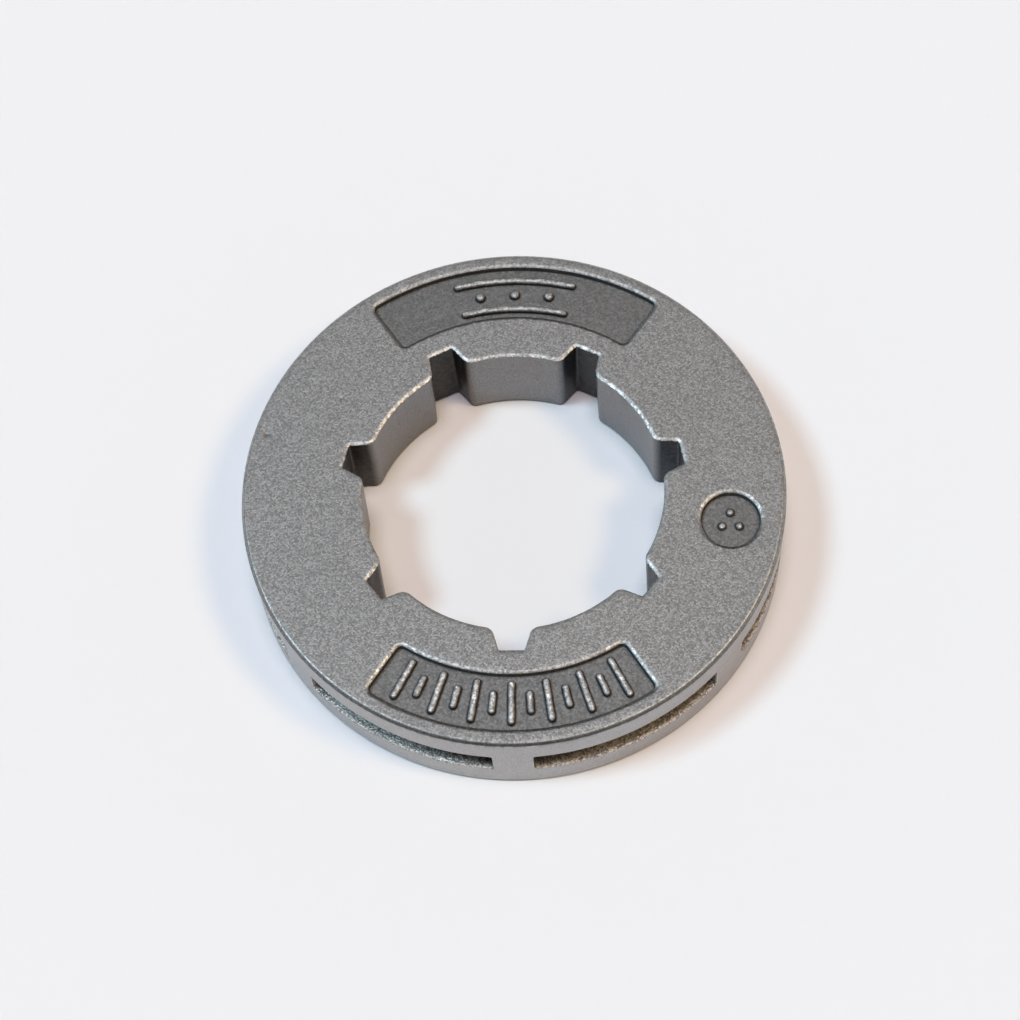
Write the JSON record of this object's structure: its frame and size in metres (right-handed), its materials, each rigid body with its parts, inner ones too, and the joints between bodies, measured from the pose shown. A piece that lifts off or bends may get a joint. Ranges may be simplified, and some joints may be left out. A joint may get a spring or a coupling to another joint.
{
  "type": "chainsaw rim sprocket",
  "caption": "Round cast steel ring with a splined bore and drive-link slots between two side rims, which drives a saw chain from the clutch hub.",
  "frame": {"origin": "centre of the back face, on the bore's axis", "axes": "+Z along the bore, out of the face with the recesses; -Y to the front panel; the part lies on its back face"},
  "size_m": [0.034, 0.034, 0.0063],
  "materials": {
    "cast_steel": "as-cast grey face with fine grain, rim and bore turned satin"
  },
  "bodies": {
    "root": {"rim_sprocket": "cast_steel"}
  },
  "joints": []
}
